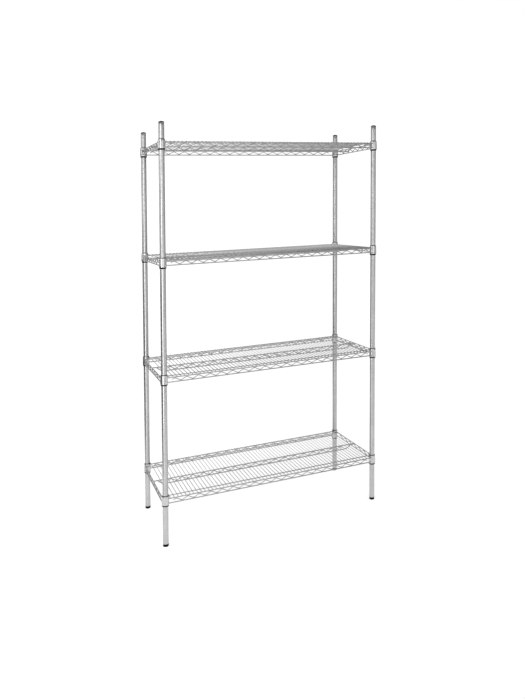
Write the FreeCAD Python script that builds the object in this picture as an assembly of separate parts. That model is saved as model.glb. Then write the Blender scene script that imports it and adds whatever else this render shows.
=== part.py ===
import FreeCAD, Part
import math
import os

# Driving dimensions, in millimetres. The origin is on the floor under the middle of the unit.
# X runs along the long front, Y from the front to the rear, and Z up.
post_gap_x = 1030.0
post_gap_y = 420.0
unit_height = 1852.0
post_diameter = 25.4
post_wall = 1.2

# Shelf levels are the heights of the collars' tops. The posts can hold a shelf every inch.
# The lowest bay is one step taller than the two above it.
level_step = 25.4
lowest_level = 224.6
steps_above_lowest = {"bottom": 0, "lower": 21, "upper": 41, "top": 61}

# Tapered corner collars, and the split sleeves that wedge inside them.
# A collar's radii are to its flats, and its taper lets the shelf's weight tighten it.
collar_height = 39.0
collar_top_radius = 15.8
collar_bottom_radius = 16.8
collar_wall = 1.5
collar_flats = 16
sleeve_above_collar = 2.5
sleeve_below_collar = 6.0
sleeve_flats = 5
sleeve_slit_angle = 5.0
seat_gap = 0.3

# Wires: the diameters of the round wires, and the flats that stand for their round sections.
rail_wire = 5.5
support_wire = 4.5
zigzag_wire = 4.0
deck_wire = 3.4
rail_flats = 6
thin_wire_flats = 4

# A truss is two rails with a zigzag wire between them. Depths are below the collars' tops.
top_rail_depth = 11.5
rail_spacing = 20.0
truss_outset = 11.0
zigzag_half_step = 26.1
front_bends = 37
side_bends = 13
centre_bends = 35
centre_flat_half_length = 480.0
centre_rise_length = 25.0

# Deck wires run from the front rail to the rear rail, and support wires cross under them.
deck_wire_count = 58
deck_pitch = 17.4
support_inset = 33.0

# Caps on the posts, threaded inserts in their lower ends, and levelling feet on threaded stems.
# Their radii are to the corners of their flats.
small_round_flats = 12
cap_height = 7.0
cap_radius = 12.6
cap_crown_radius = 22.0
cap_middle_radius = 9.0
cap_flat_radius = 4.5
plug_length = 15.0
plug_gap = 0.1
insert_length = 30.0
thread_radius = 5.0
stem_gap = 0.3
stem_length = 35.0
stem_bottom = 4.0
foot_height = 11.0
foot_radius = 13.0
foot_face_radius = 11.5
foot_shoulder_radius = 10.0
foot_edge_height = 3.0
foot_gap = 1.0

# Values worked out from the driving dimensions.
post_radius = post_diameter / 2
bore_radius = post_radius - post_wall
post_bottom = foot_height + foot_gap
post_top = unit_height - cap_height
stem_radius = thread_radius - stem_gap
collar_slope = (collar_bottom_radius - collar_top_radius) / collar_height
bottom_rail_depth = top_rail_depth + rail_spacing
front_rail_y = post_gap_y / 2 + truss_outset
side_rail_x = post_gap_x / 2 + truss_outset
origin = FreeCAD.Vector(0, 0, 0)
along_x = FreeCAD.Vector(1, 0, 0)
along_y = FreeCAD.Vector(0, 1, 0)
along_z = FreeCAD.Vector(0, 0, 1)
corners = {
    "front_left": (-post_gap_x / 2, -post_gap_y / 2),
    "front_right": (post_gap_x / 2, -post_gap_y / 2),
    "rear_left": (-post_gap_x / 2, post_gap_y / 2),
    "rear_right": (post_gap_x / 2, post_gap_y / 2),
}


def section_radius(diameter, flats):
    """Corner radius of a many-sided section with the area of the round wire."""
    return diameter / 2 * math.sqrt(2 * math.pi / (flats * math.sin(2 * math.pi / flats)))


def half_thickness(diameter, flats):
    """Distance from the middle of that section to one of its flats."""
    return section_radius(diameter, flats) * math.cos(math.pi / flats)


rail_half = half_thickness(rail_wire, rail_flats)
inner_wire_end = side_rail_x - section_radius(rail_wire, rail_flats)


def collar_radius(depth):
    """Distance from the post's axis to the collar's outer flats, at a depth below its top."""
    return collar_top_radius + collar_slope * depth


def flat_face(points):
    return Part.Face(Part.makePolygon(points + points[:1]))


def skinned(rings, hollow=False):
    """Solid with flat sides between rings of points: closed by its end rings, or hollow and going round."""
    if hollow:
        faces = []
        rings = rings + rings[:1]
    else:
        faces = [flat_face(rings[0]), flat_face(rings[-1])]
    for near, far in zip(rings, rings[1:]):
        for k in range(len(near)):
            after = (k + 1) % len(near)
            faces.append(flat_face([near[k], near[after], far[after], far[k]]))
    skin = Part.Compound(faces)
    skin.sewShape()
    solid = Part.Solid(skin.Shells[0])
    if solid.Volume < 0:
        solid.reverse()
    return solid


def turned(profile, flats, hollow=False):
    """Round piece about Z from (corner radius, height) points, with flats around it."""
    angles = [(k + 0.5) * 2 * math.pi / flats for k in range(flats)]
    rings = []
    for radius, height in profile:
        rings.append([FreeCAD.Vector(radius * math.cos(a), radius * math.sin(a), height) for a in angles])
    return skinned(rings, hollow)


def wire(points, diameter, flats, across=along_y, first_cut=None, last_cut=None):
    """Wire along points in the plane square to across, mitred at its bends and cut at its ends."""
    radius = section_radius(diameter, flats)
    runs = [(b - a).normalize() for a, b in zip(points, points[1:])]
    planes = [first_cut or runs[0]]
    planes += [(a + b).normalize() for a, b in zip(runs, runs[1:])]
    planes += [last_cut or runs[-1]]
    rings = []
    for i, point in enumerate(points):
        run = runs[max(i - 1, 0)]
        upward = across.cross(run)
        ring = []
        for k in range(flats):
            angle = math.pi / 2 + (k + 0.5) * 2 * math.pi / flats
            spoke = across * (radius * math.cos(angle)) + upward * (radius * math.sin(angle))
            ring.append(point + spoke - run * (spoke.dot(planes[i]) / run.dot(planes[i])))
        rings.append(ring)
    return skinned(rings)


def edge_rail(gap, depth):
    """Rail of an edge truss, with each end cut to lie on the diagonal flat of a tapered collar."""
    reach = collar_radius(depth) * math.sqrt(2) - truss_outset
    end = gap / 2 - reach
    points = [FreeCAD.Vector(-end, 0, -depth), FreeCAD.Vector(end, 0, -depth)]
    first_cut = (along_x - along_y) / math.sqrt(2) + along_z * collar_slope
    last_cut = (along_x + along_y) / math.sqrt(2) - along_z * collar_slope
    return wire(points, rail_wire, rail_flats, along_y, first_cut, last_cut)


def zigzag(bends):
    """Zigzag wire whose bends reach the rails, with a free end half-way up past each last bend."""
    middle = top_rail_depth + rail_spacing / 2
    half_wire = half_thickness(zigzag_wire, thin_wire_flats)
    # The tip of a mitred bend stands out past the wire's middle line by half_wire / cos(slope).
    slope = 0.0
    for _ in range(20):
        height = rail_spacing / 2 - rail_half - half_wire / math.cos(slope)
        slope = math.atan2(2 * height, zigzag_half_step)
    first = -(bends - 1) / 2 * zigzag_half_step
    points = [FreeCAD.Vector(first - zigzag_half_step / 2, 0, -middle)]
    for i in range(bends):
        rise = height if i % 2 == 0 else -height
        points.append(FreeCAD.Vector(first + i * zigzag_half_step, 0, rise - middle))
    points.append(FreeCAD.Vector(zigzag_half_step / 2 - first, 0, -middle))
    return wire(points, zigzag_wire, thin_wire_flats)


def edge_truss(gap, bends):
    """Truss along y = 0 between two collars, whose posts stand behind it."""
    return [edge_rail(gap, top_rail_depth), edge_rail(gap, bottom_rail_depth), zigzag(bends)]


def centre_truss():
    """Truss under the middle of the deck. Its lower wire rises at the ends to meet the upper one."""
    upper = wire(
        [FreeCAD.Vector(x, 0, -top_rail_depth) for x in (-inner_wire_end, inner_wire_end)],
        rail_wire, rail_flats)
    tip = centre_flat_half_length + centre_rise_length
    meeting_depth = top_rail_depth + rail_half
    lower = wire(
        [
            FreeCAD.Vector(-tip, 0, -meeting_depth),
            FreeCAD.Vector(-centre_flat_half_length, 0, -bottom_rail_depth),
            FreeCAD.Vector(centre_flat_half_length, 0, -bottom_rail_depth),
            FreeCAD.Vector(tip, 0, -meeting_depth),
        ],
        rail_wire, rail_flats, along_y, along_z, along_z)
    return [upper, lower, zigzag(centre_bends)]


def deck():
    """Parallel wires that lie on the front and rear rails."""
    height = rail_half + half_thickness(deck_wire, thin_wire_flats) - top_rail_depth
    reach = front_rail_y + rail_half
    wires = []
    for i in range(deck_wire_count):
        x = (i - (deck_wire_count - 1) / 2) * deck_pitch
        points = [FreeCAD.Vector(x, y, height) for y in (-reach, reach)]
        wires.append(wire(points, deck_wire, thin_wire_flats, along_x))
    return wires


def supports():
    """Two wires along the shelf, under the deck wires and inside the front and rear rails."""
    height = rail_half - half_thickness(support_wire, rail_flats) - top_rail_depth
    inset_y = front_rail_y - support_inset
    wires = []
    for y in (-inset_y, inset_y):
        points = [FreeCAD.Vector(x, y, height) for x in (-inner_wire_end, inner_wire_end)]
        wires.append(wire(points, support_wire, rail_flats))
    return wires


def collar():
    """Tapered tube, wider at its foot, so that it wedges down on the sleeve."""
    to_corner = 1 / math.cos(math.pi / collar_flats)
    return turned([
        ((collar_top_radius - collar_wall) * to_corner, 0),
        (collar_top_radius * to_corner, 0),
        (collar_bottom_radius * to_corner, -collar_height),
        ((collar_bottom_radius - collar_wall) * to_corner, -collar_height),
    ], collar_flats, hollow=True)


def half_sleeve(turn):
    """One half of a split sleeve: a tapered half shell whose inner flats grip the post."""
    step = math.radians(180.0 - sleeve_slit_angle) / sleeve_flats
    start = math.radians(turn + sleeve_slit_angle / 2)
    angles = [start + k * step for k in range(sleeve_flats + 1)]
    inner_radius = post_radius / math.cos(step / 2)
    rings = []
    for depth in (-sleeve_above_collar, collar_height + sleeve_below_collar):
        outer_radius = collar_radius(depth) - collar_wall - seat_gap
        outline = [(outer_radius, a) for a in angles] + [(inner_radius, a) for a in reversed(angles)]
        rings.append([FreeCAD.Vector(r * math.cos(a), r * math.sin(a), -depth) for r, a in outline])
    return skinned(rings)


def post():
    """Round tube, open at both ends."""
    length = post_top - post_bottom
    base = FreeCAD.Vector(0, 0, post_bottom)
    return Part.makeCylinder(post_radius, length, base).cut(Part.makeCylinder(bore_radius, length, base))


def cap():
    """Domed cap that sits on the post's end, with a plug inside the bore."""
    def crown(radius):
        return unit_height - cap_crown_radius + math.sqrt(cap_crown_radius ** 2 - radius ** 2)

    plug_radius = bore_radius - plug_gap
    return turned([
        (plug_radius, post_top - plug_length),
        (plug_radius, post_top),
        (cap_radius, post_top),
        (cap_radius, crown(cap_radius)),
        (cap_middle_radius, crown(cap_middle_radius)),
        (cap_flat_radius, unit_height),
    ], small_round_flats)


def insert():
    """Threaded bush pressed into the post's lower end."""
    return turned([
        (thread_radius, post_bottom),
        (bore_radius, post_bottom),
        (bore_radius, post_bottom + insert_length),
        (thread_radius, post_bottom + insert_length),
    ], small_round_flats, hollow=True)


def stem():
    """Threaded stem that screws into the insert."""
    return turned([
        (stem_radius, stem_bottom),
        (stem_radius, stem_bottom + stem_length),
    ], small_round_flats)


def foot():
    """Levelling foot: a pad with eased edges, moulded round the lower end of its stem."""
    return turned([
        (foot_face_radius, 0),
        (foot_radius, foot_edge_height),
        (foot_radius, foot_height - foot_edge_height),
        (foot_shoulder_radius, foot_height),
        (stem_radius, foot_height),
        (stem_radius, stem_bottom),
    ], small_round_flats)


def moved(shape, x, y, z, turn=0.0):
    copy = shape.copy()
    copy.rotate(origin, along_z, turn)
    copy.translate(FreeCAD.Vector(x, y, z))
    return copy


def save(node, shapes):
    Part.makeCompound(shapes).exportStep("parts/" + node + ".step")


os.makedirs("parts", exist_ok=True)

# Posts with their caps, inserts, stems and feet
corner_pieces = {"post": post(), "cap": cap(), "insert": insert(), "stem": stem(), "foot": foot()}
for place, (x, y) in corners.items():
    for kind, piece in corner_pieces.items():
        save(kind + "_" + place, [moved(piece, x, y, 0)])

# One shelf, made once with its collars' tops at z = 0
front = edge_truss(post_gap_x, front_bends)
side = edge_truss(post_gap_y, side_bends)
one_collar = collar()
sleeve_halves = [half_sleeve(0), half_sleeve(180)]
shelf = {
    "deck_wires": deck(),
    "support_wires": supports(),
    "centre_truss": centre_truss(),
    "front_truss": [moved(piece, 0, -front_rail_y, 0) for piece in front],
    "rear_truss": [moved(piece, 0, front_rail_y, 0, 180) for piece in front],
    "left_truss": [moved(piece, -side_rail_x, 0, 0, -90) for piece in side],
    "right_truss": [moved(piece, side_rail_x, 0, 0, 90) for piece in side],
    "collars": [moved(one_collar, x, y, 0) for x, y in corners.values()],
    "sleeves": [moved(half, x, y, 0) for x, y in corners.values() for half in sleeve_halves],
}

# The same shelf at each level
for name, steps in steps_above_lowest.items():
    level = lowest_level + steps * level_step
    for kind, pieces in shelf.items():
        save(name + "_shelf_" + kind, [moved(piece, 0, 0, level) for piece in pieces])
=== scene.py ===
import math
import bmesh
import bpy
from mathutils import Matrix, Vector


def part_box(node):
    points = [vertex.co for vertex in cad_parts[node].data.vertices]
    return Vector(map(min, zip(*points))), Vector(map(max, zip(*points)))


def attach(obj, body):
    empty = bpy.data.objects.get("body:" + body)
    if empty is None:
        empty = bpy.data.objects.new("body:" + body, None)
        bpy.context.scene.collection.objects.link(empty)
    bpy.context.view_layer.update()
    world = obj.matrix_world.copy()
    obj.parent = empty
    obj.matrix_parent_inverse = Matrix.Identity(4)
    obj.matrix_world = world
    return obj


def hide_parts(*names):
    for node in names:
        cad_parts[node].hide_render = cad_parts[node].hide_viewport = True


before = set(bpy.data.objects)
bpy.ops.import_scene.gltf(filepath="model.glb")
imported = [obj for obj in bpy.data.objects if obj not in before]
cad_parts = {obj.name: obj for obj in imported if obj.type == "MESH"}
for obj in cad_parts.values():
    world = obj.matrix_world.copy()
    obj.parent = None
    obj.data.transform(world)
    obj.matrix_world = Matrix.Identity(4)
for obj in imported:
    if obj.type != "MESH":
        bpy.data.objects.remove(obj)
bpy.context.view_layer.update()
mm = 0.001
placeNames = ("front_left", "front_right", "rear_left", "rear_right")
shelfNames = ("bottom", "lower", "upper", "top")
alongX = Vector((1, 0, 0))
alongY = Vector((0, 1, 0))
upward = Vector((0, 0, 1))
print("frame loaded with", len(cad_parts), "solids")


# where things are, read from the frame
def middleOf(node):
    low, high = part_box(node)
    return (low + high) / 2


def radiusOf(node):
    low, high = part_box(node)
    return (high.x - low.x) / 2


corners = {place: middleOf("post_" + place).to_2d() for place in placeNames}
shelfTop = {name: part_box(name + "_shelf_collars")[1].z for name in shelfNames}
collarHeight = shelfTop["bottom"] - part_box("bottom_shelf_collars")[0].z


def onShelf(node):
    # box of one of the bottom shelf's solids, measured from its collars' tops
    low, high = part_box("bottom_shelf_" + node)
    drop = Vector((0, 0, shelfTop["bottom"]))
    return low - drop, high - drop


# mesh helpers
onAxis = 1e-6 * mm  # a smaller radius is the axis itself
# rings that ease the cut end of a wire: way back from it and size, as shares of the wire's radius
cutEnd = ((0.0, 0.62), (0.18, 0.86), (0.5, 1.0))


def aroundAxis(at, radius, turn, z):
    return at[0] + radius * math.cos(turn), at[1] + radius * math.sin(turn), z


def skinRings(bm, rings, closed=False, capEnds=True):
    pairs = list(zip(rings, rings[1:]))
    if closed:
        pairs.append((rings[-1], rings[0]))
    for near, far in pairs:
        for k in range(len(near)):
            after = (k + 1) % len(near)
            bm.faces.new((near[k], near[after], far[after], far[k]))
    if capEnds and not closed:
        bm.faces.new(list(reversed(rings[0])))
        bm.faces.new(rings[-1])


def lathe(bm, profile, segments, at, closed=False):
    # rings about an upright axis from (radius, height) points
    turns = [2 * math.pi * k / segments for k in range(segments)]
    rings = []
    poles = {}
    for i, (radius, z) in enumerate(profile):
        if radius < onAxis:
            poles[i] = bm.verts.new((at[0], at[1], z))
        else:
            rings.append([bm.verts.new(aroundAxis(at, radius, turn, z)) for turn in turns])
    skinRings(bm, rings, closed, capEnds=False)
    for i, pole in poles.items():
        ring = rings[0] if i == 0 else rings[-1]
        for k in range(segments):
            bm.faces.new((ring[k], ring[(k + 1) % segments], pole))


def arcPoints(centre, radius, start, end, steps):
    # points along part of a circle, angles in degrees
    points = []
    for k in range(steps + 1):
        turn = math.radians(start + (end - start) * k / steps)
        points.append((centre[0] + radius * math.cos(turn), centre[1] + radius * math.sin(turn)))
    return points


def roundBends(points, bendRadius, steps):
    # the path with each inner corner replaced by an arc
    path = [points[0]]
    for before, corner, after in zip(points, points[1:], points[2:]):
        come = (corner - before).normalized()
        leave = (after - corner).normalized()
        turn = come.angle(leave)
        back = bendRadius * math.tan(turn / 2)
        inward = (leave - come).normalized()
        centre = corner + inward * (bendRadius / math.cos(turn / 2))
        start = corner - come * back - centre
        for k in range(steps + 1):
            spin = Matrix.Rotation(turn * k / steps, 3, come.cross(leave))
            path.append(centre + spin @ start)
    path.append(points[-1])
    return path


def addWire(bm, path, radius, across, sides, shapeEnd=None):
    # a round wire in the plane square to across, with eased ends or ends that a function shapes
    steps = []
    for i, point in enumerate(path):
        along = (path[min(i + 1, len(path) - 1)] - path[max(i - 1, 0)]).normalized()
        steps.append((point, along, radius))
    if shapeEnd is None:
        first, leave, _ = steps[0]
        last, come, _ = steps[-1]
        steps[:1] = [(first + leave * radius * back, leave, radius * size) for back, size in cutEnd]
        steps[-1:] = [(last - come * radius * back, come, radius * size) for back, size in reversed(cutEnd)]
    rings = []
    for point, along, size in steps:
        up = across.cross(along)
        ring = []
        for k in range(sides):
            turn = 2 * math.pi * k / sides
            aside = point + across * (size * math.cos(turn))
            ring.append(bm.verts.new(aside + up * (size * math.sin(turn))))
        rings.append(ring)
    if shapeEnd:
        for vert in rings[0] + rings[-1]:
            vert.co = shapeEnd(vert.co)
    skinRings(bm, rings)


def finishPiece(bm, name, finish, sharpAngle):
    # mesh object with smooth shading that breaks at real edges
    bmesh.ops.recalc_face_normals(bm, faces=bm.faces)
    mesh = bpy.data.meshes.new(name)
    bm.to_mesh(mesh)
    bm.free()
    mesh.shade_smooth()
    mesh.set_sharp_from_angle(angle=math.radians(sharpAngle))
    mesh.materials.append(finish)
    piece = bpy.data.objects.new(name, mesh)
    bpy.context.scene.collection.objects.link(piece)
    return piece


def seat(piece, body, node):
    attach(piece, body)
    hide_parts(node)


def copyOf(piece, name, at):
    twin = bpy.data.objects.new(name, piece.data.copy())
    bpy.context.scene.collection.objects.link(twin)
    twin.location = at
    return twin


# finishes
noiseRange = (0.3, 0.7)  # nearly all values of the noise lie in it


def newFinish(name):
    finish = bpy.data.materials.new(name)
    finish.use_nodes = True
    tree = finish.node_tree
    return finish, tree, tree.nodes["Principled BSDF"]


def addNoise(tree, scale, detail):
    place = tree.nodes.new("ShaderNodeTexCoord")
    noise = tree.nodes.new("ShaderNodeTexNoise")
    noise.inputs["Scale"].default_value = scale
    noise.inputs["Detail"].default_value = detail
    tree.links.new(place.outputs["Object"], noise.inputs["Vector"])
    return noise.outputs["Fac"]


def spread(tree, value, fromRange, toRange):
    # one range of values stretched to another
    mapRange = tree.nodes.new("ShaderNodeMapRange")
    mapRange.inputs["From Min"].default_value = fromRange[0]
    mapRange.inputs["From Max"].default_value = fromRange[1]
    mapRange.inputs["To Min"].default_value = toRange[0]
    mapRange.inputs["To Max"].default_value = toRange[1]
    tree.links.new(value, mapRange.inputs["Value"])
    return mapRange.outputs["Result"]


def tint(tree, noise, dark, light):
    ramp = tree.nodes.new("ShaderNodeValToRGB")
    for element, position, colour in zip(ramp.color_ramp.elements, noiseRange, (dark, light)):
        element.position = position
        element.color = (*colour, 1)
    tree.links.new(noise, ramp.inputs["Fac"])
    return ramp.outputs["Color"]


def roughen(tree, shader, noise, strength, height):
    bump = tree.nodes.new("ShaderNodeBump")
    bump.inputs["Strength"].default_value = strength
    bump.inputs["Distance"].default_value = height
    tree.links.new(noise, bump.inputs["Height"])
    tree.links.new(bump.outputs["Normal"], shader.inputs["Normal"])


# tubes are polished round and round, which smears what they mirror along their length
tubeChrome = {"dark": (0.46, 0.462, 0.465), "light": (0.52, 0.522, 0.525), "cloudScale": 14,
              "roughness": (0.16, 0.22), "hazeScale": 60,
              "ripple": 0.008, "rippleScale": 420, "smear": 1.0}
# plate on drawn wire is duller than on the polished tubes, and on the cast collars it is paler
wireChrome = {"dark": (0.40, 0.402, 0.405), "light": (0.47, 0.472, 0.475), "cloudScale": 30,
              "roughness": (0.24, 0.36), "hazeScale": 90,
              "ripple": 0.06, "rippleScale": 600, "smear": 0.0}
collarChrome = {"dark": (0.51, 0.512, 0.515), "light": (0.58, 0.582, 0.585), "cloudScale": 24,
                "roughness": (0.16, 0.27), "hazeScale": 80,
                "ripple": 0.04, "rippleScale": 500, "smear": 0.0}
# alike on all three; the smear's turn is a quarter, from round the tube to along it
chromeGrain = {"cloudDetail": 4, "hazeDetail": 6, "rippleDetail": 2, "rippleHeight": 0.2 * mm,
               "smearTurn": 0.25}


def makeChrome(name, look):
    finish, tree, shader = newFinish(name)
    shader.inputs["Metallic"].default_value = 1.0
    shader.inputs["Anisotropic"].default_value = look["smear"]
    shader.inputs["Anisotropic Rotation"].default_value = chromeGrain["smearTurn"]
    cloud = addNoise(tree, look["cloudScale"], chromeGrain["cloudDetail"])
    tree.links.new(tint(tree, cloud, look["dark"], look["light"]), shader.inputs["Base Color"])
    haze = addNoise(tree, look["hazeScale"], chromeGrain["hazeDetail"])
    tree.links.new(spread(tree, haze, noiseRange, look["roughness"]), shader.inputs["Roughness"])
    ripple = addNoise(tree, look["rippleScale"], chromeGrain["rippleDetail"])
    roughen(tree, shader, ripple, look["ripple"], chromeGrain["rippleHeight"])
    return finish


# the plastic is duller where it is darker, and the zinc where it is lighter
plasticLook = {"metal": 0.0, "shine": 0.12, "dark": (0.005, 0.005, 0.006), "light": (0.014, 0.014, 0.015),
               "roughness": (0.68, 0.45), "cloudScale": 40, "cloudDetail": 5,
               "grainScale": 900, "grainDetail": 2, "grain": 0.25, "grainHeight": 0.1 * mm}
zincLook = {"metal": 1.0, "shine": 0.5, "dark": (0.38, 0.39, 0.41), "light": (0.60, 0.60, 0.58),
            "roughness": (0.26, 0.48), "cloudScale": 90, "cloudDetail": 5,
            "grainScale": 700, "grainDetail": 3, "grain": 0.2, "grainHeight": 0.1 * mm}


def makeGrained(name, look):
    finish, tree, shader = newFinish(name)
    shader.inputs["Metallic"].default_value = look["metal"]
    shader.inputs["Specular IOR Level"].default_value = look["shine"]
    cloud = addNoise(tree, look["cloudScale"], look["cloudDetail"])
    tree.links.new(tint(tree, cloud, look["dark"], look["light"]), shader.inputs["Base Color"])
    tree.links.new(spread(tree, cloud, noiseRange, look["roughness"]), shader.inputs["Roughness"])
    grain = addNoise(tree, look["grainScale"], look["grainDetail"])
    roughen(tree, shader, grain, look["grain"], look["grainHeight"])
    return finish


chrome = makeChrome("chromePlate", tubeChrome)
wirePlate = makeChrome("wirePlate", wireChrome)
collarPlate = makeChrome("collarPlate", collarChrome)
plastic = makeGrained("blackPlastic", plasticLook)
zinc = makeGrained("zincSteel", zincLook)
print("finishes made")


# posts: tubes with a rolled groove at each inch; the steps across a groove are shares of its half width,
# and the outer ones keep the tube's shading straight up to it
postLook = {"wall": 1.2 * mm, "groovePitch": 25.4 * mm, "grooveWidth": 1.8 * mm, "grooveDepth": 0.45 * mm,
            "grooveBelowCollarTop": 20 * mm, "grooveSteps": (-1.35, -1, -0.5, 0, 0.5, 1, 1.35),
            "edge": 0.4 * mm, "segments": 48, "sharpAngle": 60}


def makePost(place):
    low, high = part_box("post_" + place)
    radius = radiusOf("post_" + place)
    bore = radius - postLook["wall"]
    edge = postLook["edge"]
    pitch = postLook["groovePitch"]
    margin = pitch / 3  # no groove is nearer to an end than this
    z = shelfTop["bottom"] - postLook["grooveBelowCollarTop"]
    z -= math.floor((z - low.z) / pitch) * pitch
    profile = [(bore, low.z), (radius - edge, low.z), (radius, low.z + edge)]
    while z < high.z - margin:
        if z > low.z + margin:
            for share in postLook["grooveSteps"]:
                sink = postLook["grooveDepth"] * (1 + math.cos(math.pi * min(abs(share), 1))) / 2
                profile.append((radius - sink, z + share * postLook["grooveWidth"] / 2))
        z += pitch
    profile += [(radius, high.z - edge), (radius - edge, high.z), (bore, high.z)]
    bm = bmesh.new()
    lathe(bm, profile, postLook["segments"], corners[place], closed=True)
    piece = finishPiece(bm, "groovedPost_" + place, chrome, postLook["sharpAngle"])
    seat(piece, "frame", "post_" + place)


# caps: domed, with a plug in the tube
capLook = {"rim": 3.0 * mm, "rimEdge": 0.8 * mm, "rimLip": 0.3 * mm, "domeInset": 0.25 * mm, "domeSteps": 8,
           "plugGap": 0.1 * mm, "plugTip": 1.0 * mm, "segments": 48, "sharpAngle": 35}


def makeCap(place):
    low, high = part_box("cap_" + place)
    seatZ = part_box("post_" + place)[1].z
    radius = radiusOf("post_" + place)
    plug = radius - postLook["wall"] - capLook["plugGap"]
    tip = capLook["plugTip"]
    lip = capLook["rimLip"]
    rise = high.z - seatZ - capLook["rim"]
    crown = (radius ** 2 + rise ** 2) / (2 * rise)  # the dome is part of a ball of this radius
    profile = [(0, low.z), (plug - tip, low.z), (plug, low.z + tip), (plug, seatZ)]
    profile += [(radius - lip, seatZ), (radius, seatZ + lip)]
    profile.append((radius, seatZ + capLook["rim"] - capLook["rimEdge"]))
    for k in range(capLook["domeSteps"] + 1):
        out = (radius - capLook["domeInset"]) * (1 - k / capLook["domeSteps"])
        profile.append((out, high.z - crown + math.sqrt(crown ** 2 - out ** 2)))
    bm = bmesh.new()
    lathe(bm, profile, capLook["segments"], corners[place])
    piece = finishPiece(bm, "domedCap_" + place, plastic, capLook["sharpAngle"])
    seat(piece, "frame", "cap_" + place)


# threaded inserts in the posts' lower ends, with grip rings that bite in the tube
insertLook = {"thread": 5.0 * mm, "chamfer": 0.8 * mm, "ringStep": 5 * mm, "ringDepth": 0.4 * mm,
              "segments": 40, "sharpAngle": 30}


def makeInsert(place):
    low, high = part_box("insert_" + place)
    radius = radiusOf("post_" + place) - postLook["wall"]
    thread = insertLook["thread"]
    chamfer = insertLook["chamfer"]
    step = insertLook["ringStep"]
    half = step / 4  # a ring's half width
    profile = [(thread, low.z + chamfer), (thread + chamfer, low.z), (radius, low.z)]
    z = low.z + step
    while z < high.z - step / 2:
        profile += [(radius, z - half), (radius - insertLook["ringDepth"], z), (radius, z + half)]
        z += step
    profile += [(radius - chamfer, high.z), (thread + chamfer, high.z), (thread, high.z - chamfer)]
    bm = bmesh.new()
    lathe(bm, profile, insertLook["segments"], corners[place], closed=True)
    piece = finishPiece(bm, "threadedInsert_" + place, zinc, insertLook["sharpAngle"])
    seat(piece, "frame", "insert_" + place)


# stems with a rolled thread; the half widths of its base and crest are shares of its pitch
stemLook = {"radius": 4.65 * mm, "root": 3.95 * mm, "tip": 1.2 * mm, "tipTaper": 0.8 * mm,
            "threadPitch": 1.5 * mm, "threadSink": 0.15 * mm, "baseHalf": 0.48, "crestHalf": 0.06,
            "runOutSteps": 14, "segments": 28, "sharpAngle": 30}


def makeStem(place):
    low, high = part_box("stem_" + place)
    at = corners[place]
    root = stemLook["root"]
    segments = stemLook["segments"]
    core = [(0, low.z), (root, low.z), (root, high.z - stemLook["tip"])]
    core += [(root - stemLook["tipTaper"], high.z), (0, high.z)]
    bm = bmesh.new()
    lathe(bm, core, segments, at)
    # the thread is a ridge wound up the core, run out at both ends
    pitch = stemLook["threadPitch"]
    turns = (high.z - low.z - 2 * pitch) / pitch
    count = int(turns * segments)
    sunk = root - stemLook["threadSink"]
    base = Vector((0, 0, stemLook["baseHalf"] * pitch))
    flat = Vector((0, 0, stemLook["crestHalf"] * pitch))
    rings = []
    for k in range(count + 1):
        turn = 2 * math.pi * k / segments
        full = min(1.0, k / stemLook["runOutSteps"], (count - k) / stemLook["runOutSteps"])
        crest = root + (stemLook["radius"] - root) * full
        spoke = Vector((math.cos(turn), math.sin(turn), 0))
        centre = Vector((at[0], at[1], low.z + pitch + pitch * k / segments))
        ring = [centre + spoke * sunk - base, centre + spoke * crest - flat,
                centre + spoke * crest + flat, centre + spoke * sunk + base]
        rings.append([bm.verts.new(point) for point in ring])
    skinRings(bm, rings)
    piece = finishPiece(bm, "threadedStem_" + place, zinc, stemLook["sharpAngle"])
    seat(piece, "levelling_foot_" + place, "stem_" + place)


# moulded feet round the stems' lower ends, with finger grips round their sides
footLook = {"edge": 2.6 * mm, "shoulder": 2.2 * mm, "arcSteps": 6, "soleInset": 0.6 * mm, "gripCount": 24,
            "gripDepth": 0.35 * mm, "gripZone": 0.8 * mm, "segments": 96, "sharpAngle": 45}


def makeFoot(place):
    low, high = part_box("foot_" + place)
    radius = radiusOf("foot_" + place)
    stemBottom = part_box("stem_" + place)[0].z
    edge = footLook["edge"]
    shoulder = footLook["shoulder"]
    profile = [(0, low.z), (radius - edge - footLook["soleInset"], low.z)]
    profile += arcPoints((radius - edge, low.z + edge), edge, -90, 0, footLook["arcSteps"])
    profile += arcPoints((radius - shoulder, high.z - shoulder), shoulder, 0, 90, footLook["arcSteps"])
    profile += [(stemLook["radius"], high.z), (stemLook["radius"], stemBottom), (0, stemBottom)]
    bm = bmesh.new()
    lathe(bm, profile, footLook["segments"], corners[place])
    at = corners[place].to_3d()
    for vert in bm.verts:
        out = (vert.co - at).to_2d()
        if out.length > radius - footLook["gripZone"]:
            turn = math.atan2(out.y, out.x)
            sink = footLook["gripDepth"] * (0.5 + 0.5 * math.cos(footLook["gripCount"] * turn))
            vert.co -= (out.normalized() * sink).to_3d()
    piece = finishPiece(bm, "levellingFoot_" + place, plastic, footLook["sharpAngle"])
    seat(piece, "levelling_foot_" + place, "foot_" + place)


for place in placeNames:
    makePost(place)
    makeCap(place)
    makeInsert(place)
    makeStem(place)
    makeFoot(place)
print("posts, caps, inserts, stems and feet made")


# shelf pieces are made once, with their collars' tops at height zero, and copied to each level
collarLook = {"topRadius": 15.8 * mm, "bottomRadius": 16.8 * mm, "wall": 1.5 * mm, "lip": 0.7 * mm,
              "lipSteps": 4, "sideShares": (0.25, 0.5, 0.75), "segments": 64, "sharpAngle": 50}


def collarRadius(z):
    share = -z / collarHeight
    return collarLook["topRadius"] + (collarLook["bottomRadius"] - collarLook["topRadius"]) * share


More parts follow.
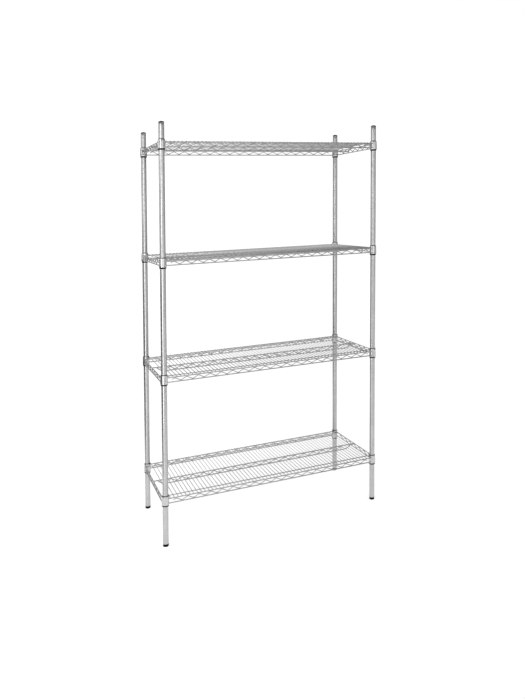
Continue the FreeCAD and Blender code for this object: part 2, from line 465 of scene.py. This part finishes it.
def makeCollars():
    lip = collarLook["lip"]
    steps = collarLook["lipSteps"]
    wall = collarLook["wall"]
    top = collarLook["topRadius"]
    bottom = collarLook["bottomRadius"]
    profile = [(top - wall, -lip)]
    profile += arcPoints((top - wall + lip, -lip), lip, 180, 90, steps)
    profile += arcPoints((top - lip, -lip), lip, 90, 0, steps)
    for share in collarLook["sideShares"]:
        profile.append((collarRadius(-share * collarHeight), -share * collarHeight))
    profile += arcPoints((bottom - lip, lip - collarHeight), lip, 0, -90, steps)
    profile += arcPoints((bottom - wall + lip, lip - collarHeight), lip, 270, 180, steps)
    bm = bmesh.new()
    for at in corners.values():
        lathe(bm, profile, collarLook["segments"], at, closed=True)
    return finishPiece(bm, "taperedCollars", collarPlate, collarLook["sharpAngle"])


# two half sleeves round each post, tapered to fit the collar
sleeveLook = {"above": 2.5 * mm, "below": 6.0 * mm, "collarGap": 0.3 * mm, "postGap": 0.05 * mm,
              "slit": 1.1 * mm, "edge": 0.4 * mm, "steps": 22, "sharpAngle": 35}


def makeSleeves():
    inner = radiusOf("post_front_left") + sleeveLook["postGap"]
    edge = sleeveLook["edge"]
    top = sleeveLook["above"]
    bottom = -collarHeight - sleeveLook["below"]
    topOut = collarRadius(top) - collarLook["wall"] - sleeveLook["collarGap"]
    bottomOut = collarRadius(bottom) - collarLook["wall"] - sleeveLook["collarGap"]
    section = [(inner, bottom + edge), (inner + edge, bottom)]
    section += [(bottomOut - edge, bottom), (bottomOut, bottom + edge)]
    section += [(topOut, top - edge), (topOut - edge, top)]
    section += [(inner + edge, top), (inner, top - edge)]
    slit = sleeveLook["slit"] / 2 / inner
    bm = bmesh.new()
    for at in corners.values():
        for half in (0, math.pi):
            rings = []
            for k in range(sleeveLook["steps"] + 1):
                turn = half + slit + (math.pi - 2 * slit) * k / sleeveLook["steps"]
                rings.append([bm.verts.new(aroundAxis(at, radius, turn, z)) for radius, z in section])
            skinRings(bm, rings)
    return finishPiece(bm, "splitSleeves", plastic, sleeveLook["sharpAngle"])


# trusses: two rails with a zigzag wire between them; an edge truss has its rails welded to the collars
trussLook = {"railRadius": 2.75 * mm, "railSpacing": 20 * mm, "railSides": 16, "cope": 0.8 * mm,
             "zigzagRadius": 2.0 * mm, "halfStep": 26.1 * mm, "bendRadius": 7.0 * mm, "bendSteps": 5,
             "zigzagSides": 12, "weldSink": 0.35 * mm, "sharpAngle": 40,
             "longBends": 37, "shortBends": 13, "centreBends": 35}
heightRounds = 20  # enough for the height of the zigzag's corners to settle
railEndShare = 0.7  # of a collar's radius: where a rail ends before its end is coped


def zigzagPath(bends, middleZ):
    # bends touch the rails and are pressed a little into them by the welds
    reach = trussLook["railSpacing"] / 2 - trussLook["railRadius"] - trussLook["zigzagRadius"]
    reach += trussLook["weldSink"]
    halfStep = trussLook["halfStep"]
    height = reach
    for _ in range(heightRounds):  # a rounded bend is lower than its corner
        slope = math.atan2(2 * height, halfStep)
        height = reach + trussLook["bendRadius"] * (1 / math.cos(slope) - 1)
    first = -(bends - 1) / 2 * halfStep
    path = [Vector((first - halfStep / 2, 0, middleZ))]
    for i in range(bends):
        rise = height if i % 2 == 0 else -height
        path.append(Vector((first + i * halfStep, 0, middleZ + rise)))
    path.append(Vector((halfStep / 2 - first, 0, middleZ)))
    return roundBends(path, trussLook["bendRadius"], trussLook["bendSteps"])


def addEdgeTruss(bm, gap, bends, outset, middleZ):
    # along y = 0, with the posts' axes behind it by outset
    def cope(point):
        # a rail's end follows the collar's round side, a little inside it
        side = 1 if point.x > 0 else -1
        hold = collarRadius(point.z) - trussLook["cope"]
        reach = math.sqrt(hold ** 2 - (outset - point.y) ** 2)
        return Vector((side * (gap / 2 - reach), point.y, point.z))

    end = gap / 2 - collarLook["topRadius"] * railEndShare
    for z in (middleZ + trussLook["railSpacing"] / 2, middleZ - trussLook["railSpacing"] / 2):
        path = [Vector((-end, 0, z)), Vector((end, 0, z))]
        addWire(bm, path, trussLook["railRadius"], alongY, trussLook["railSides"], cope)
    addWire(bm, zigzagPath(bends, middleZ), trussLook["zigzagRadius"], alongY, trussLook["zigzagSides"])


def makeEdgeTruss(name, node, gap, bends, turn):
    low, high = onShelf(node)
    middle = (low + high) / 2
    post = corners["front_left"]
    outset = abs(middle.y) - abs(post.y) if turn in (0, 180) else abs(middle.x) - abs(post.x)
    bm = bmesh.new()
    addEdgeTruss(bm, gap, bends, outset, middle.z)
    place = Matrix.Translation((middle.x, middle.y, 0)) @ Matrix.Rotation(math.radians(turn), 4, "Z")
    bmesh.ops.transform(bm, matrix=place, verts=bm.verts)
    return finishPiece(bm, name, wirePlate, trussLook["sharpAngle"])


# the centre truss's lower wire rises to the upper one at both ends
centreLook = {"flatHalf": 480 * mm, "rise": 25 * mm, "riseBend": 14 * mm, "riseSteps": 8}


def makeCentreTruss():
    low, high = onShelf("centre_truss")
    middleZ = (low.z + high.z) / 2
    railRadius = trussLook["railRadius"]
    railSides = trussLook["railSides"]
    topZ = middleZ + trussLook["railSpacing"] / 2
    bottomZ = middleZ - trussLook["railSpacing"] / 2
    end = high.x + trussLook["weldSink"]
    flat = centreLook["flatHalf"]
    tip = flat + centreLook["rise"]
    upper = [Vector((-end, 0, topZ)), Vector((end, 0, topZ))]
    lower = [Vector((-tip, 0, topZ - railRadius)), Vector((-flat, 0, bottomZ)),
             Vector((flat, 0, bottomZ)), Vector((tip, 0, topZ - railRadius))]
    lower = roundBends(lower, centreLook["riseBend"], centreLook["riseSteps"])
    zigzag = zigzagPath(trussLook["centreBends"], middleZ)
    bm = bmesh.new()
    addWire(bm, upper, railRadius, alongY, railSides)
    addWire(bm, lower, railRadius, alongY, railSides)
    addWire(bm, zigzag, trussLook["zigzagRadius"], alongY, trussLook["zigzagSides"])
    return finishPiece(bm, "centreTruss", wirePlate, trussLook["sharpAngle"])


deckLook = {"wireRadius": 1.7 * mm, "count": 58, "pitch": 17.4 * mm, "weldSink": 0.25 * mm, "sides": 12,
            "sharpAngle": 40}


def makeDeck():
    low, high = onShelf("deck_wires")
    z = low.z + deckLook["wireRadius"] - deckLook["weldSink"]
    bm = bmesh.new()
    for i in range(deckLook["count"]):
        x = (i - (deckLook["count"] - 1) / 2) * deckLook["pitch"]
        path = [Vector((x, low.y, z)), Vector((x, high.y, z))]
        addWire(bm, path, deckLook["wireRadius"], alongX, deckLook["sides"])
    return finishPiece(bm, "deckWires", wirePlate, deckLook["sharpAngle"])


supportLook = {"wireRadius": 2.25 * mm, "sides": 14, "sharpAngle": 40}


def makeSupports():
    low, high = onShelf("support_wires")
    radius = supportLook["wireRadius"]
    z = (low.z + high.z) / 2
    reach = (high.y - low.y) / 2 - radius
    end = high.x + trussLook["weldSink"]
    bm = bmesh.new()
    for y in (-reach, reach):
        path = [Vector((-end, y, z)), Vector((end, y, z))]
        addWire(bm, path, radius, alongY, supportLook["sides"])
    return finishPiece(bm, "supportWires", wirePlate, supportLook["sharpAngle"])


gapX = corners["front_right"].x - corners["front_left"].x
gapY = corners["rear_left"].y - corners["front_left"].y
shelfPieces = {
    "deck_wires": makeDeck(),
    "support_wires": makeSupports(),
    "centre_truss": makeCentreTruss(),
    "front_truss": makeEdgeTruss("frontTruss", "front_truss", gapX, trussLook["longBends"], 0),
    "rear_truss": makeEdgeTruss("rearTruss", "rear_truss", gapX, trussLook["longBends"], 180),
    "left_truss": makeEdgeTruss("leftTruss", "left_truss", gapY, trussLook["shortBends"], -90),
    "right_truss": makeEdgeTruss("rightTruss", "right_truss", gapY, trussLook["shortBends"], 90),
    "collars": makeCollars(),
    "sleeves": makeSleeves(),
}
for shelf in shelfNames:
    for node, pattern in shelfPieces.items():
        piece = copyOf(pattern, shelf + "_" + pattern.name, (0, 0, shelfTop[shelf]))
        if node == "sleeves":  # they stay on the posts when the shelf is lifted
            seat(piece, "frame", shelf + "_shelf_sleeves")
        else:
            seat(piece, shelf + "_shelf", shelf + "_shelf_" + node)
for pattern in shelfPieces.values():
    bpy.data.objects.remove(pattern)
print("shelves made")


# camera at the photograph's viewing angle; angles in degrees, sizes in its pixels, place in metres
photoView = {"imageSize": (525, 700), "centrePixel": (300, 240), "focalPixels": 671.7, "yaw": 23.25,
             "pitch": -2.85, "roll": -0.94, "shear": -1.78, "place": (-1.110, -3.088, 1.469)}


def makeCamera():
    width, height = photoView["imageSize"]
    yaw = math.radians(photoView["yaw"])
    pitch = math.radians(photoView["pitch"])
    roll = math.radians(photoView["roll"])
    look = Vector((math.sin(yaw) * math.cos(pitch), math.cos(yaw) * math.cos(pitch), math.sin(pitch)))
    level = look.cross(upward).normalized()
    upright = level.cross(look)
    right = level * math.cos(roll) + upright * math.sin(roll)
    up = upright * math.cos(roll) - level * math.sin(roll)
    lens = bpy.data.cameras.new("photoCamera")
    lens.lens = photoView["focalPixels"] * lens.sensor_width / height
    lens.shift_x = (width / 2 - photoView["centrePixel"][0]) / height
    lens.shift_y = (photoView["centrePixel"][1] - height / 2) / height
    camera = bpy.data.objects.new("photoCamera", lens)
    # the photograph's posts stand straight while its level lines climb, so the camera hangs in a rig
    # that is stretched along one diagonal of the picture and squeezed along the other
    rig = bpy.data.objects.new("shearedRig", None)
    stretch = math.tan(math.radians(photoView["shear"]) / 2)
    diagonal = Matrix.Rotation(math.radians(45), 4, "Z")
    aim = Matrix.Translation(photoView["place"]) @ Matrix((right, up, -look)).transposed().to_4x4()
    rig.matrix_world = aim @ diagonal @ Matrix.Diagonal((1 + stretch, 1 - stretch, 1, 1))
    camera.parent = rig
    camera.matrix_local = diagonal.inverted()
    bpy.context.scene.collection.objects.link(rig)
    bpy.context.scene.collection.objects.link(camera)
    bpy.context.scene.camera = camera


# pale studio, in metres: white paper under and behind the unit, a grey floor round it and a grey room
studioLook = {"paperLeft": -1.32, "paperRight": 5.4, "paperFront": -3.3, "paperRear": 3.7, "paperTop": 4.6,
              "sweepRadius": 0.6, "sweepSteps": 12, "paperColour": (0.72, 0.72, 0.72), "roughness": 0.9,
              "glowPlaces": (-1.8, 1.6), "glow": (0.52, 0.79), "floorSize": 30.0, "floorDrop": 0.004,
              "floorColour": (0.55, 0.55, 0.55), "roomGlow": (0.24, 0.34)}


def axisLevel(tree, space, axis, places, levels):
    # a value that changes along one axis between two places
    coords = tree.nodes.new("ShaderNodeTexCoord")
    split = tree.nodes.new("ShaderNodeSeparateXYZ")
    tree.links.new(coords.outputs[space], split.inputs["Vector"])
    return spread(tree, split.outputs[axis], places, levels)


def addMath(tree, operation, first, second):
    node = tree.nodes.new("ShaderNodeMath")
    node.operation = operation
    tree.links.new(first, node.inputs[0])
    tree.links.new(second, node.inputs[1])
    return node.outputs["Value"]


def whiteToView(tree):
    # white where the camera, a reflection or a glass sees it, and more of it away from the lamps in front
    path = tree.nodes.new("ShaderNodeLightPath")
    seen = addMath(tree, "MAXIMUM", path.outputs["Is Camera Ray"], path.outputs["Is Glossy Ray"])
    seen = addMath(tree, "MAXIMUM", seen, path.outputs["Is Transmission Ray"])
    level = axisLevel(tree, "Object", "Y", studioLook["glowPlaces"], studioLook["glow"])
    return addMath(tree, "MULTIPLY", seen, level)


def makeSheet(name, rows, colour, glows):
    # a sheet skinned over rows of points, each row a left point and a right point
    points = [point for row in rows for point in row]
    faces = [(2 * k, 2 * k + 1, 2 * k + 3, 2 * k + 2) for k in range(len(rows) - 1)]
    mesh = bpy.data.meshes.new(name)
    mesh.from_pydata(points, [], faces)
    mesh.shade_smooth()
    finish, tree, shader = newFinish(name)
    shader.inputs["Base Color"].default_value = (*colour, 1)
    shader.inputs["Roughness"].default_value = studioLook["roughness"]
    shader.inputs["Specular IOR Level"].default_value = 0.0
    if glows:
        shader.inputs["Emission Color"].default_value = (1, 1, 1, 1)
        tree.links.new(whiteToView(tree), shader.inputs["Emission Strength"])
    mesh.materials.append(finish)
    sheet = bpy.data.objects.new(name, mesh)
    bpy.context.scene.collection.objects.link(sheet)


def makeStudio():
    left = studioLook["paperLeft"]
    right = studioLook["paperRight"]
    rear = studioLook["paperRear"]
    sweep = studioLook["sweepRadius"]
    line = [(studioLook["paperFront"], 0)]
    line += arcPoints((rear - sweep, sweep), sweep, -90, 0, studioLook["sweepSteps"])
    line.append((rear, studioLook["paperTop"]))
    paperRows = [((left, y, z), (right, y, z)) for y, z in line]
    makeSheet("whitePaper", paperRows, studioLook["paperColour"], True)
    half = studioLook["floorSize"] / 2
    low = -studioLook["floorDrop"]
    floorRows = [((-half, y, low), (half, y, low)) for y in (-half, half)]
    makeSheet("greyFloor", floorRows, studioLook["floorColour"], False)
    world = bpy.data.worlds.new("greyRoom")
    bpy.context.scene.world = world
    world.use_nodes = True
    tree = world.node_tree
    background = tree.nodes["Background"]
    background.inputs["Color"].default_value = (1, 1, 1, 1)
    room = axisLevel(tree, "Generated", "Z", (0, 1), studioLook["roomGlow"])  # grey walls, paler ceiling
    tree.links.new(room, background.inputs["Strength"])


# soft lamps, in metres; the radiance of one is its watts over pi times its area
lampLook = {
    "stripSoftbox": {"at": (-1.45, -1.2, 1.3), "aim": (-0.2, 0.0, 1.3), "size": (0.5, 2.5), "watts": 15},
    "leftSoftbox": {"at": (-2.6, 0.2, 1.9), "aim": (0.0, 0.0, 1.3), "size": (1.6, 1.6), "watts": 11},
    "frontSoftbox": {"at": (-0.1, -3.7, 1.35), "aim": (-0.1, 0.0, 1.35), "size": (3.4, 2.5), "watts": 33},
    "rightSoftbox": {"at": (2.3, -1.6, 1.3), "aim": (0.0, 0.0, 1.3), "size": (1.2, 2.4), "watts": 8},
    "topSoftbox": {"at": (0.2, -0.3, 3.5), "aim": (0.0, 0.0, 0.0), "size": (2.4, 1.8), "watts": 12},
}


def makeLamps():
    for name, look in lampLook.items():
        lamp = bpy.data.lights.new(name, "AREA")
        lamp.shape = "RECTANGLE"
        lamp.size, lamp.size_y = look["size"]
        lamp.energy = look["watts"]
        holder = bpy.data.objects.new(name, lamp)
        holder.location = look["at"]
        toward = Vector(look["aim"]) - Vector(look["at"])
        holder.rotation_euler = toward.to_track_quat("-Z", "Y").to_euler()
        holder.visible_camera = False
        bpy.context.scene.collection.objects.link(holder)


makeCamera()
makeStudio()
makeLamps()
bpy.context.scene.view_settings.view_transform = "Standard"
print("camera, studio and lamps made")
